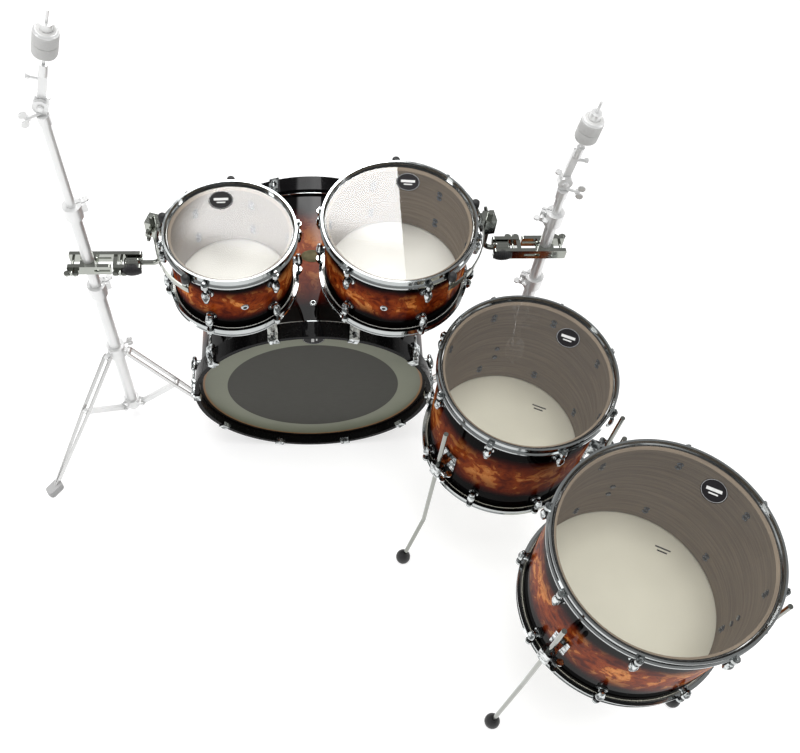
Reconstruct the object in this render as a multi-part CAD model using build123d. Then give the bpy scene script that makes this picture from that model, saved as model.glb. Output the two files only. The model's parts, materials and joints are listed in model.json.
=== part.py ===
from build123d import *
import os
from math import asin, atan2, cos, degrees, hypot, radians, sin

# Acoustic drum kit: bass drum, two rack toms clamped to two cymbal stands, two floor toms.
# Millimetres, +Z up. The origin is on the floor, under the middle of the kit's bounding box.
# Plan positions below are measured from the point on the floor under the bass drum's middle:
# +X to the player's right, +Y away from the player.

INCH = 25.4
KIT_MIDDLE = (81.9, -379.3)      # middle of the kit's bounding box in plan
RUN_FIT = 0.05                   # radial clearance of a running fit
ROD_HOLE = 0.4                   # radial clearance of a tension rod in its ear or claw
SOFT_GAP = 0.3                   # gap between neighbouring pieces that move apart
THROUGH = 100                    # half length of a cutter that goes right through a piece

# Drums: radius and depth of the bare shell, centre of the shell, lean of the axis away from
# the player, number of lugs and angle of the first. A rack tom also has the angle of its middle
# grommet; a floor tom has the heights of its leg brackets and leg bends, and the legs' reach.
TOM_10 = dict(radius=5 * INCH, depth=6.5 * INCH, centre=(-171, -162, 766), lean=2.0,
              lugs=6, first_lug=11, grommet=163)
TOM_12 = dict(radius=6 * INCH, depth=7 * INCH, centre=(177, -130, 755), lean=0.0,
              lugs=6, first_lug=48, grommet=17)
FLOOR_14 = dict(radius=7 * INCH, depth=12 * INCH, centre=(441, -399, 533), lean=0.0,
                lugs=8, first_lug=15, bracket_z=490, bend_z=200, foot_reach=44)
FLOOR_16 = dict(radius=8 * INCH, depth=12 * INCH, centre=(625, -813, 604), lean=0.0,
                lugs=8, first_lug=22, bracket_z=570, bend_z=335, foot_reach=16)
BASS = dict(radius=11 * INCH, depth=16 * INCH, lugs=10, first_lug=18)
BASS_PITCH = 2.8                 # the front of the bass drum is raised by its spurs

SHELL_WALL = 6.5
EDGE_FLAT = 1.5                  # width of the bearing edge's crest
FILM = 0.7                       # thickness of a drum head's film
COLLAR_WALL = 1                  # thickness of the film's collar around the edge
FLESH_WIDTH = 5                  # how far the head's flesh hoop stands out from the shell
FLESH_TOP, FLESH_BOTTOM = 3, 9   # the flesh hoop's faces below the bearing edge

# Tension lugs and rods
LUG_MOUTH_R, LUG_BELLY_R, LUG_TAIL_R = 5.5, 9, 6.5
LUG_FOOT_R, LUG_FLANGE_R, LUG_FLANGE = 8, 10.5, 3
ROD_R = 3
ROD_BITE = 12                    # length of rod inside its lug
KEY_SIDE, KEY_HEIGHT = 6, 7      # square head that the drum key turns
ROD_FLANGE_R, ROD_FLANGE = 5.3, 1.6

# Die-cast hoops of the toms
HOOP_GAP = 0.4                   # between the hoop's wall and the flesh hoop
HOOP_WALL = 3
HOOP_FOOT_WIDTH, HOOP_FOOT = 12, 4
LIP_RISE = 9                     # the lip above the bearing edge
HOOP_SKIRT = 14                  # the hoop's foot below the bearing edge
ROD_OFFSET = 14                  # tension rod's axis outside a tom's shell
EAR_R, EAR_HEIGHT = 7.5, 9
LUG_DROP = 28                    # top of a tom's lug below the bearing edge
LUG_LENGTH = 34

# Bass drum hoops, claws and spurs
WOOD_HOOP_R = 293
WOOD_HOOP_WALL = 8
WOOD_HOOP_RISE = 25              # the wooden hoop's rim beyond the bearing edge
WOOD_HOOP_SKIRT = 15
CLAW_ROD_R = 299.5               # radius of the circle of bass tension rods
CLAW_WIDTH = 24
CLAW_SEAT = 11                   # rod's flange beyond the bearing edge
BASS_LUG_DROP = 52
BASS_LUG_LENGTH = 40
SPUR_R = 6.5
SPUR_TIP = (315, 258, 0)
SPUR_PIVOT = (290, 110, 214)
SPUR_EYE_R, SPUR_EYE = 16, 12
SPUR_PIN_R = 5
SPUR_RUBBER_R, SPUR_RUBBER = 10, 38
SPUR_CAP_R, SPUR_CAP = 9, 4
SPUR_POST_R, SPUR_POST = 15, 30

# Rack tom suspension: a band hung from three rubber grommets on the batter hoop
BAND_INSET = 24                  # band's inner face outside the shell
BAND_WALL = 3
BAND_TOP, BAND_BOTTOM = 18, 31   # below the bearing edge
GROMMET_STEP = 72                # angle between grommets
GROMMET_OFFSET = 19
GROMMET_R, GROMMET_HEIGHT = 7.5, 13
ROD_STANDOFF = 45                # L-rod's axis outside the shell
L_ROD_R, L_ROD_BEND_R = 6, 20
BLOCK = (24, 30, 42)             # bracket that holds the L-rod
BLOCK_ARM = (10, 22, 36)

# Floor tom legs
LEG_ANGLES = (-145, -25, 95)
LEG_OFFSET = 37                  # leg rod's axis outside the shell
LEG_R = 5
LEG_BEND_R = 25
LEG_TOP_DROP = 40                # top of the leg rods below the batter edge
FOOT_R, FOOT_HEIGHT = 12, 27
CLAMP_BLOCK = (22, 26, 46)
CLAMP_PLATE = (6, 38, 62)
CLAMP_ARM_WIDTH, CLAMP_ARM_HEIGHT = 20, 38

# Cymbal stands: position and leg angles in plan, tops of the lower and middle tubes, heights of
# the clamp and the tilter, lean of the tilter to +X, and the side (+1 or -1 along X) of its tom
LEFT_STAND = dict(plan=(-491, -109), legs=(-130, -10, 110), lower=606, clamp=684, middle=874,
                  tilter=1137, lean=16, side=1)
RIGHT_STAND = dict(plan=(509, -100), legs=(-60, 60, 180), lower=617, clamp=721, middle=838,
                   tilter=925, lean=5, side=-1)
LOWER_R, MIDDLE_R, UPPER_R = 14.3, 12.7, 9.5
TUBE_BASE = 50
MIDDLE_OVERLAP, UPPER_OVERLAP = 170, 120   # how far each tube reaches into the one below
LOCK_WALL, LOCK_HEIGHT = 7, 34   # memory locks at the tubes' tops
LOCK_EAR = (16, 14, 22)
HUB_PIVOT_Z, COLLAR_PIVOT_Z = 80, 332
HUB_WALL, COLLAR_WALL_STAND = 6, 8
PIVOT_R = 31                     # tripod pivots' distance from the tube's axis
FOOT_CIRCLE = 303                # stand feet's distance from the tube's axis
STAND_FOOT = (44, 24, FOOT_HEIGHT)
BAR_WIDTH, BAR_WALL, BAR_SPREAD = 12, 3, 9
BRACE_WALL = 2 * (BAR_SPREAD - BAR_WALL)
PIN_R = 2.5
RIVET_R = 4
BALL_REACH = 95                  # clamp ball's distance from the tube's axis
BALL_LENGTH = 38
JAW_WALL, JAW_HEIGHT = 9, 26
TILT_DISC_R, TILT_DISC = 15, 8   # ratchet discs of the cymbal tilter
CYMBAL_ROD_R, CYMBAL_ROD_TOP = 3, 215
FELT_R = 22
FELTS = ((122, 148), (148.5, 175))
WING_HUB_R, WING_HUB = 6, 9
WING_R, WING_WALL, WING_REACH = 7, 4, 9

BOTTOM = (Align.CENTER, Align.CENTER, Align.MIN)
TOP = (Align.CENTER, Align.CENTER, Align.MAX)


def save(node, *pieces):
    """Write one node; every separate piece in it is a closed solid of its own."""
    solids = [solid for piece in pieces for solid in piece.solids()]
    export_step(Compound(children=solids), f"parts/{node}.step")


def at(x, y, z=0):
    """Location of a plan position in the kit's own frame."""
    return Pos(x - KIT_MIDDLE[0], y - KIT_MIDDLE[1], z)


def turned(corners):
    """Solid of revolution about Z whose half section has these (radius, height) corners."""
    return revolve(make_face(Polyline(*[(r, 0, z) for r, z in corners], close=True)), Axis.Z)


def polar(angle, radius, z=0):
    """Location on a circle about Z, turned so that its X axis points outwards."""
    return Rot(0, 0, angle) * Pos(radius, 0, z)


def both_ends(piece):
    """The piece and its mirror image at the other end of the drum."""
    return [piece, mirror(piece, about=Plane.XY)]


def rod_angles(drum):
    return [drum["first_lug"] + k * 360 / drum["lugs"] for k in range(drum["lugs"])]


def rounded(piece, radius):
    """The piece with its circular edges rounded."""
    return fillet(piece.edges().filter_by(GeomType.CIRCLE), radius)


def wing_bolt(length):
    """Bolt along +Z from the origin, with a hub and two wings at its far end."""
    shank = Cylinder(3, length, align=BOTTOM)
    hub = Pos(0, 0, length) * Cylinder(WING_HUB_R, WING_HUB, align=BOTTOM)
    wing = Pos(WING_REACH, 0, length + WING_R) * Rot(90, 0, 0) * Cylinder(WING_R, WING_WALL)
    return shank + hub + wing + mirror(wing, about=Plane.YZ)


# ---------------------------------------------------------------- pieces every drum has

def drum_shell(drum):
    """Plain tube with a 45 degree bearing edge cut inside both ends."""
    outer, half = drum["radius"], drum["depth"] / 2
    inner = outer - SHELL_WALL
    cut = SHELL_WALL - EDGE_FLAT
    return turned([(inner, cut - half), (outer - EDGE_FLAT, -half), (outer, -half),
                   (outer, half), (outer - EDGE_FLAT, half), (inner, half - cut)])


def drum_head(drum):
    """Head on the upper bearing edge: film, collar and flesh hoop in one piece."""
    edge = drum["depth"] / 2
    inside = drum["radius"] + SOFT_GAP
    flesh = drum["radius"] + FLESH_WIDTH
    return turned([(0, edge), (inside, edge), (inside, edge - FLESH_BOTTOM),
                   (flesh, edge - FLESH_BOTTOM), (flesh, edge - FLESH_TOP),
                   (inside + COLLAR_WALL, edge - FLESH_TOP), (inside + COLLAR_WALL, edge + FILM),
                   (0, edge + FILM)])


def tension_lug(standoff, length):
    """Pear-shaped lug hanging from its mouth at the origin, on a round foot against the shell."""
    mouth, tail = (LUG_MOUTH_R, 0, 0), (0, 0, -length)
    belly = (LUG_BELLY_R, 0, -0.4 * length)
    narrow = (LUG_TAIL_R, 0, -0.8 * length)
    outline = [Line((0, 0, 0), mouth),
               Spline(mouth, belly, narrow, tail, tangents=[(0.6, 0, -1), (-1, 0, 0)]),
               Line(tail, (0, 0, 0))]
    body = revolve(make_face(outline), Axis.Z)
    outwards = Pos(-standoff, 0, -length / 2) * Rot(0, 90, 0)
    foot = outwards * Cylinder(LUG_FOOT_R, standoff, align=BOTTOM)
    flange = outwards * Cylinder(LUG_FLANGE_R, LUG_FLANGE, align=BOTTOM)
    bore = Cylinder(ROD_R + RUN_FIT, ROD_BITE + 2, align=TOP)
    return body + foot + flange - bore


def tension_rod(head_z, lug_mouth_z):
    """Threaded rod with a round flange and a square key head."""
    foot_z = lug_mouth_z - ROD_BITE
    shank = Pos(0, 0, foot_z) * Cylinder(ROD_R, head_z - foot_z, align=BOTTOM)
    flange = Pos(0, 0, head_z) * Cylinder(ROD_FLANGE_R, ROD_FLANGE, align=BOTTOM)
    key = Pos(0, 0, head_z + ROD_FLANGE) * Box(KEY_SIDE, KEY_SIDE, KEY_HEIGHT, align=BOTTOM)
    return shank + flange + key


# ---------------------------------------------------------------- toms

def hoop_section(drum):
    """Half section of a cast hoop: foot flange, wall, rolled lip and the ledge over the head."""
    outer, edge = drum["radius"], drum["depth"] / 2
    wall = outer + FLESH_WIDTH + HOOP_GAP
    skirt = edge - HOOP_SKIRT
    foot = outer + HOOP_FOOT_WIDTH
    return [(wall, skirt), (foot, skirt), (foot, skirt + HOOP_FOOT),
            (wall + HOOP_WALL, skirt + HOOP_FOOT + 2), (wall + HOOP_WALL, edge + 5),
            (outer + 10, edge + 6.5), (outer + 10, edge + LIP_RISE), (wall + 0.5, edge + LIP_RISE),
            (wall - 1.5, edge + 3), (outer + 2, edge), (outer + 2, edge - FLESH_TOP),
            (wall, edge - FLESH_TOP)]


def die_cast_hoop(drum, grommets=()):
    """Cast hoop with an ear for each tension rod and a flat seat for each grommet."""
    outer = drum["radius"]
    skirt = drum["depth"] / 2 - HOOP_SKIRT
    hoop = turned(hoop_section(drum))
    root = Box(ROD_OFFSET - FLESH_WIDTH - 2, 2 * EAR_R, EAR_HEIGHT,
               align=(Align.MAX, Align.CENTER, Align.MIN))
    ear = Cylinder(EAR_R, EAR_HEIGHT, align=BOTTOM) + root
    hole = Cylinder(ROD_R + ROD_HOLE, 3 * EAR_HEIGHT)
    seat = Cylinder(GROMMET_R, HOOP_FOOT, align=BOTTOM)
    for angle in rod_angles(drum):
        hoop += polar(angle, outer + ROD_OFFSET, skirt) * ear
        hoop -= polar(angle, outer + ROD_OFFSET, skirt) * hole
    for angle in grommets:
        hoop += polar(angle, outer + GROMMET_OFFSET, skirt) * seat
    return hoop


def tom_fittings(drum, name, grommets=()):
    """The five nodes of a tom's drum, in the drum's own frame, as {node: pieces}."""
    outer, edge = drum["radius"], drum["depth"] / 2
    lug = tension_lug(ROD_OFFSET, LUG_LENGTH)
    rod = tension_rod(edge - HOOP_SKIRT + EAR_HEIGHT, edge - LUG_DROP)
    hardware = []
    for angle in rod_angles(drum):
        hardware += both_ends(polar(angle, outer + ROD_OFFSET, edge - LUG_DROP) * lug)
        hardware += both_ends(polar(angle, outer + ROD_OFFSET) * rod)
    head = drum_head(drum)
    bottom_hoop = mirror(die_cast_hoop(drum), about=Plane.XY)
    return {
        f"{name}_shell": [drum_shell(drum)],
        f"{name}_batter_head": [head],
        f"{name}_bottom_head": [mirror(head, about=Plane.XY)],
        f"{name}_hoops": [die_cast_hoop(drum, grommets), bottom_hoop],
        f"{name}_lugs_and_rods": hardware,
    }


def suspension_band(drum, grommets):
    """Open ring under the batter hoop, with an ear under each grommet."""
    inner, edge = drum["radius"] + BAND_INSET, drum["depth"] / 2
    outer = inner + BAND_WALL
    low, high = edge - BAND_BOTTOM, edge - BAND_TOP
    band = turned([(inner, low), (outer, low), (outer, high), (inner, high)])
    open_half = 180 - GROMMET_STEP - 4
    open_angles = [grommets[1] + 180 + k * open_half / 2 for k in (-2, -1, 0, 1, 2)]
    far_corners = [(2 * outer * cos(radians(a)), 2 * outer * sin(radians(a))) for a in open_angles]
    wedge = extrude(make_face(Polyline((0, 0), *far_corners, close=True)), high - low + 2)
    band -= Pos(0, 0, low - 1) * wedge
    under_hoop = edge - HOOP_SKIRT
    ear = Cylinder(GROMMET_R, BAND_TOP - HOOP_SKIRT + 2, align=TOP)
    for angle in grommets:
        band += polar(angle, drum["radius"] + GROMMET_OFFSET, under_hoop) * ear
    return band


def grommet_rubbers(drum, grommets):
    post_z = drum["depth"] / 2 - HOOP_SKIRT + HOOP_FOOT
    post = rounded(Cylinder(GROMMET_R, GROMMET_HEIGHT, align=BOTTOM), 3)
    return [polar(angle, drum["radius"] + GROMMET_OFFSET, post_z) * post for angle in grommets]


def rod_bracket(drum, rod_angle):
    """Block on the band that the L-rod passes through; its back stays clear of the shell."""
    edge = drum["depth"] / 2
    inner = drum["radius"] + BAND_INSET
    arm_shift = 2 - (BLOCK[0] + BLOCK_ARM[0] - 2) / 2
    block = Box(*BLOCK, align=TOP) + Pos(arm_shift, 0, 0) * Box(*BLOCK_ARM, align=TOP)
    shell_side = turned([(0, 0), (inner, 0), (inner, edge), (0, edge)])
    return polar(rod_angle, drum["radius"] + ROD_STANDOFF, edge - BAND_TOP) * block - shell_side


def l_rod(drum, stand, rod_angle):
    """Route of the L-rod: out of the stand's ball, along X, then straight up to the bracket."""
    x, y, z = drum["centre"]
    ball = clamp_ball(stand)
    corner_x = x + (drum["radius"] + ROD_STANDOFF) * cos(radians(rod_angle))
    start = (ball[0] - stand["side"] * (BALL_LENGTH / 2 - 2), ball[1], ball[2])
    corner = (corner_x, ball[1], ball[2])
    top = (corner_x, ball[1], z + drum["depth"] / 2 - 6)
    path = FilletPolyline(start, corner, top, radius=L_ROD_BEND_R)
    return corner, sweep(Plane(origin=start, z_dir=(stand["side"], 0, 0)) * Circle(L_ROD_R), path)


def rack_tom(name, drum, stand):
    """A rack tom: drum, suspension and the L-rod that ends in the stand clamp's ball."""
    place = at(*drum["centre"]) * Rot(-drum["lean"], 0, 0)
    grommets = [drum["grommet"] + k * GROMMET_STEP for k in (-1, 0, 1)]
    for node, pieces in tom_fittings(drum, name, grommets).items():
        save(node, *[place * piece for piece in pieces])
    rod_angle = bracket_angle(drum, stand)
    corner, rod = l_rod(drum, stand, rod_angle)
    hole = at(*corner) * Cylinder(L_ROD_R + RUN_FIT, 4 * THROUGH, align=BOTTOM)
    bolt_z = drum["depth"] / 2 - BAND_TOP - BLOCK[2] / 2
    sideways = Rot(0, 0, 90) * Rot(0, 90, 0) * Pos(0, 0, BLOCK[1] / 2)
    bolt = polar(rod_angle, drum["radius"] + ROD_STANDOFF, bolt_z) * sideways * wing_bolt(6)
    save(f"{name}_suspension",
         place * suspension_band(drum, grommets),
         place * rod_bracket(drum, rod_angle) - hole,
         *[place * rubber for rubber in grommet_rubbers(drum, grommets)],
         at(0, 0) * rod,
         place * bolt)


def bracket_angle(drum, stand):
    """Angle on the drum of the bracket whose L-rod stands level with the stand's tube."""
    reach = (stand["plan"][1] - drum["centre"][1]) / (drum["radius"] + ROD_STANDOFF)
    angle = degrees(asin(reach))
    return angle if stand["side"] < 0 else 180 - angle


# ---------------------------------------------------------------- floor toms

def floor_leg(drum):
    """One bent leg rod and its rubber foot, in the plane of +X and the drum's axis."""
    rod_r = drum["radius"] + LEG_OFFSET
    top = (rod_r, 0, drum["centre"][2] + drum["depth"] / 2 - LEG_TOP_DROP)
    bend = (rod_r, 0, drum["bend_z"])
    toe = (rod_r + drum["foot_reach"], 0, FOOT_HEIGHT / 2)
    path = FilletPolyline(top, bend, toe, radius=LEG_BEND_R)
    rod = sweep(Plane(origin=top, z_dir=(0, 0, -1)) * Circle(LEG_R), path)
    pad = rounded(Cylinder(FOOT_R, FOOT_HEIGHT, align=BOTTOM), 4)
    return [rod, Pos(toe[0], 0, 0) * pad - rod]


def leg_bracket(drum):
    """Clamp block that holds a leg rod against the shell, with its wing bolt."""
    rod_r = drum["radius"] + LEG_OFFSET
    block = Box(*CLAMP_BLOCK)
    block = Pos(rod_r, 0, 0) * fillet(block.edges().filter_by(Axis.Z), 5)
    arm = Pos(rod_r - 10, 0, 0) * Box(LEG_OFFSET - 8, CLAMP_ARM_WIDTH, CLAMP_ARM_HEIGHT,
                                      align=(Align.MAX, Align.CENTER, Align.CENTER))
    plate = Pos(drum["radius"] + 1, 0, 0) * Box(*CLAMP_PLATE)
    body = block + arm + plate
    body -= Cylinder(drum["radius"], THROUGH)
    body -= Pos(rod_r, 0, 0) * Cylinder(LEG_R + RUN_FIT, THROUGH)
    bolt = Pos(rod_r, CLAMP_BLOCK[1] / 2, 0) * Rot(-90, 0, 0) * wing_bolt(7)
    return [Pos(0, 0, drum["bracket_z"]) * piece for piece in (body, bolt)]


def floor_tom(name, drum):
    x, y, z = drum["centre"]
    for node, pieces in tom_fittings(drum, name).items():
        save(node, *[at(x, y, z) * piece for piece in pieces])
    turns = [at(x, y) * Rot(0, 0, angle) for angle in LEG_ANGLES]
    save(f"{name}_legs", *[turn * piece for turn in turns for piece in floor_leg(drum)])
    save(f"{name}_leg_brackets", *[turn * piece for turn in turns for piece in leg_bracket(drum)])


# ---------------------------------------------------------------- bass drum

def bass_place():
    """The bass drum's own frame: +Z along its axis to the front, -Y up, lowest rim on the floor."""
    pitch = radians(BASS_PITCH)
    rim = BASS["depth"] / 2 + WOOD_HOOP_RISE
    height = WOOD_HOOP_R * cos(pitch) + rim * sin(pitch)
    return at(0, 0, height) * Rot(-90 + BASS_PITCH, 0, 0)


def wooden_hoop():
    edge = BASS["depth"] / 2
    inner = WOOD_HOOP_R - WOOD_HOOP_WALL
    ledge = BASS["radius"] + 2.5
    skirt, rim = edge - WOOD_HOOP_SKIRT, edge + WOOD_HOOP_RISE
    return turned([(inner, skirt), (WOOD_HOOP_R, skirt), (WOOD_HOOP_R, rim), (inner - 2, rim),
                   (ledge, edge + 8), (ledge, edge - FLESH_TOP), (inner, edge - FLESH_TOP)])


def claw():
    """Claw hook over the front bass hoop, in the drum's frame, at +X; its rod goes into the lug."""
    edge = BASS["depth"] / 2
    rim = edge + WOOD_HOOP_RISE
    skirt = edge - WOOD_HOOP_SKIRT - 6
    inner = WOOD_HOOP_R - WOOD_HOOP_WALL
    bearing = WOOD_HOOP_R + 0.4
    outline = Polyline((inner - 7, rim - 7), (inner - 3.6, rim - 7), (inner - 2.6, rim + 0.2),
                       (bearing, rim + 0.2), (bearing, skirt), (WOOD_HOOP_R + 10, skirt),
                       (WOOD_HOOP_R + 10, edge - 4), (WOOD_HOOP_R + 5, edge + 10),
                       (WOOD_HOOP_R + 3.5, rim + 3), (inner - 5, rim + 3), close=True)
    hook = extrude(Plane.XZ * make_face(outline), CLAW_WIDTH / 2, both=True)
    bore = Pos(CLAW_ROD_R, 0, skirt - 1) * Cylinder(ROD_R + ROD_HOLE, 40, align=BOTTOM)
    return hook - bore


def bass_rod():
    edge = BASS["depth"] / 2
    return Pos(CLAW_ROD_R, 0, 0) * tension_rod(edge + CLAW_SEAT, edge - BASS_LUG_DROP)


def spur_frame(side):
    """A spur's pivot and tip, its direction, and the axis it folds about."""
    pivot = Vector(side * SPUR_PIVOT[0], SPUR_PIVOT[1], SPUR_PIVOT[2])
    tip = Vector(side * SPUR_TIP[0], SPUR_TIP[1], SPUR_TIP[2])
    along = (tip - pivot).normalized()
    axis = along.cross(Vector(0, -1, 0)).normalized()
    return pivot, tip, along, axis


def rod_from(origin, direction, start, radius, length):
    """Cylinder along a direction, from a distance of start beyond the origin."""
    place = Plane(origin=origin + direction * start, z_dir=direction)
    return place * Cylinder(radius, length, align=BOTTOM)


def spur(side):
    """Spur rod with its pivot eye and rubber tip, standing on the floor."""
    pivot, tip, along, axis = spur_frame(side)
    length = (tip - pivot).length
    rod = rod_from(pivot, along, SPUR_EYE_R + 1, SPUR_R, length - SPUR_EYE_R - 21)
    eye = Plane(origin=pivot, z_dir=axis) * Cylinder(SPUR_EYE_R, SPUR_EYE)
    neck = rod_from(pivot, along, 10, SPUR_EYE / 2 - 0.2, 8)
    eye_hole = Plane(origin=pivot, z_dir=axis) * Cylinder(SPUR_PIN_R + RUN_FIT, 40)
    rubber = rod_from(tip, along, -SPUR_RUBBER, SPUR_RUBBER_R, SPUR_RUBBER + 6)
    below_floor = Box(2000, 2000, 200, align=TOP)
    return [at(0, 0) * (rod + eye + neck - eye_hole), at(0, 0) * (rubber - rod - below_floor)]


def spur_bracket(side):
    """Bracket on the shell: the post under a spur's eye, and the pin with its cap."""
    pivot, _, _, axis = spur_frame(side)
    gap = SPUR_EYE / 2 + SOFT_GAP
    inward = axis if axis.X * side < 0 else axis * -1
    outward = inward * -1
    pin = rod_from(pivot, inward, -10, SPUR_PIN_R, 20)
    cap = rod_from(pivot, outward, gap, SPUR_CAP_R, SPUR_CAP)
    post = rod_from(pivot, inward, gap, SPUR_POST_R, SPUR_POST)
    return pin + cap + post


def bass_drum():
    place = bass_place()
    head = drum_head(BASS)
    edge = BASS["depth"] / 2
    lug = tension_lug(CLAW_ROD_R - BASS["radius"], BASS_LUG_LENGTH)
    lug = Pos(CLAW_ROD_R, 0, edge - BASS_LUG_DROP) * lug
    lugs, claws = [], []
    for angle in rod_angles(BASS):
        turn = Rot(0, 0, angle - 90)
        lugs += both_ends(turn * lug)
        claws += both_ends(turn * claw()) + both_ends(turn * bass_rod())
    save("bass_shell", place * drum_shell(BASS))
    save("bass_front_head", place * head)
    save("bass_batter_head", place * mirror(head, about=Plane.XY))
    save("bass_front_hoop", place * wooden_hoop())
    save("bass_batter_hoop", place * mirror(wooden_hoop(), about=Plane.XY))
    save("bass_lugs", *[place * piece for piece in lugs])
    save("bass_claws_and_rods", *[place * piece for piece in claws])
    inside = place * Cylinder(BASS["radius"], BASS["depth"])
    save("bass_spur_brackets", *[at(0, 0) * spur_bracket(side) - inside for side in (-1, 1)])
    save("bass_left_spur", *spur(-1))
    save("bass_right_spur", *spur(1))


# ---------------------------------------------------------------- cymbal stands

def tube(outer, inner, low, high):
    return turned([(inner, low), (outer, low), (outer, high), (inner, high)])


def memory_lock(tube_r, bore, z, angle):
    """Split collar with an ear and a wing bolt, its top face at z."""
    collar = Cylinder(tube_r + LOCK_WALL, LOCK_HEIGHT, align=TOP)
    ear = Pos(tube_r + LOCK_WALL + 2, 0, -4) * Box(*LOCK_EAR, align=TOP)
    slot = Pos(0, 0, 1) * Box(60, 2, LOCK_HEIGHT + 6, align=(Align.MIN, Align.CENTER, Align.MAX))
    body = collar + ear - slot - Cylinder(bore, THROUGH)
    bolt = Pos(tube_r + LOCK_WALL + 4, LOCK_EAR[1] / 2, -15) * Rot(-90, 0, 0) * wing_bolt(4)
    return [Pos(0, 0, z) * Rot(0, 0, angle) * piece for piece in (body, bolt)]


def knee():
    """Radius and height of the pivot between a leg and its brace, half way between collar and hub."""
    z = (COLLAR_PIVOT_Z + HUB_PIVOT_Z) / 2
    share = (COLLAR_PIVOT_Z - z) / (COLLAR_PIVOT_Z - FOOT_HEIGHT / 2)
    return PIVOT_R + share * (FOOT_CIRCLE - PIVOT_R), z


def flat_bar(start, end, wall, y_start=0.0, y_end=0.0, width=BAR_WIDTH):
    """Straight flat bar with round ends between two (radius, height) points, wall along Y."""
    run, rise = end[0] - start[0], end[1] - start[1]
    length = hypot(run, rise)
    splay = degrees(atan2(y_end - y_start, length))
    frame = Pos(start[0], y_start, start[1]) * Rot(0, -degrees(atan2(rise, run)), 0) * Rot(0, 0, splay)
    bar = Box(length, wall, width, align=(Align.MIN, Align.CENTER, Align.CENTER))
    for x in (0, length):
        bar += Pos(x, 0, 0) * Rot(90, 0, 0) * Cylinder(width / 2, wall)
    return frame * bar


def cross_pin(point, half_length, radius=PIN_R):
    return Pos(point[0], 0, point[1]) * Rot(90, 0, 0) * Cylinder(radius, 2 * half_length)


def tripod_leg():
    """Double-braced leg: two flat bars joined by pins at the collar and the knee, and a foot."""
    hip, joint = (PIVOT_R, COLLAR_PIVOT_Z), knee()
    toe = (FOOT_CIRCLE - 8, FOOT_HEIGHT / 2 + 9)
    leg = cross_pin(hip, BAR_SPREAD) + cross_pin(joint, BAR_SPREAD)
    for side in (-1, 1):
        leg += flat_bar(hip, joint, BAR_WALL, side * BAR_SPREAD, side * BAR_SPREAD)
        leg += flat_bar(joint, toe, BAR_WALL, side * BAR_SPREAD, side * 2)
    foot = Box(*STAND_FOOT, align=BOTTOM)
    foot = Pos(FOOT_CIRCLE, 0, 0) * fillet(foot.edges().filter_by(Axis.Z), 9)
    return [leg, foot - leg]


def tripod_brace():
    """Brace from the knee to the hub; it lies between the leg's two bars."""
    brace = flat_bar(knee(), (PIVOT_R, HUB_PIVOT_Z), BRACE_WALL)
    return [brace - cross_pin(knee(), 40, PIN_R + RUN_FIT)]


def leg_collar(angles):
    """Sliding ring on the lower tube with one tongue for each leg."""
    pivot = (PIVOT_R, COLLAR_PIVOT_Z)
    bore, outer = LOWER_R + RUN_FIT, LOWER_R + COLLAR_WALL_STAND
    ring = tube(outer, bore, COLLAR_PIVOT_Z - 18, COLLAR_PIVOT_Z + 22)
    tongue = flat_bar((outer - 3, COLLAR_PIVOT_Z), pivot, BRACE_WALL, width=BAR_WIDTH + 2)
    tongue -= Pos(0, 0, COLLAR_PIVOT_Z) * Cylinder(bore + 1, 60)
    tongue -= cross_pin(pivot, 40, PIN_R + RUN_FIT)
    for angle in angles:
        ring += Rot(0, 0, angle) * tongue
    return ring


def hub(angles):
    """Hub at the tube's foot: a pair of cheeks for the end of each brace."""
    pivot = (PIVOT_R, HUB_PIVOT_Z)
    ring = tube(LOWER_R + HUB_WALL, LOWER_R, HUB_PIVOT_Z - 16, HUB_PIVOT_Z + 12)
    for side in (-1, 1):
        cheek_y = side * BAR_SPREAD
        cheek = flat_bar((LOWER_R + 3, HUB_PIVOT_Z), pivot, BAR_WALL, cheek_y, cheek_y)
        rivet_y = side * (BAR_SPREAD + BAR_WALL / 2 + 1)
        cheek += Pos(PIVOT_R, rivet_y, HUB_PIVOT_Z) * Rot(90, 0, 0) * Cylinder(RIVET_R, 2)
        for angle in angles:
            ring += Rot(0, 0, angle) * cheek
    return ring - Pos(0, 0, HUB_PIVOT_Z) * Cylinder(LOWER_R, THROUGH)


def clamp_ball(stand):
    """Centre of the clamp's ball joint, on the drum's side of the stand's tube."""
    x, y = stand["plan"]
    return (x + stand["side"] * BALL_REACH, y, stand["clamp"])


def clamp_jaw(side, left, right, height):
    """One jaw bar on the +Y (side 1) or -Y (side -1) face of the tube, between two X values."""
    middle = MIDDLE_R + SOFT_GAP + JAW_WALL / 2
    bar = Pos((left + right) / 2, side * middle, 0) * Box(right - left, JAW_WALL, height)
    return fillet(bar.edges().filter_by(Axis.Y), 4)


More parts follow.
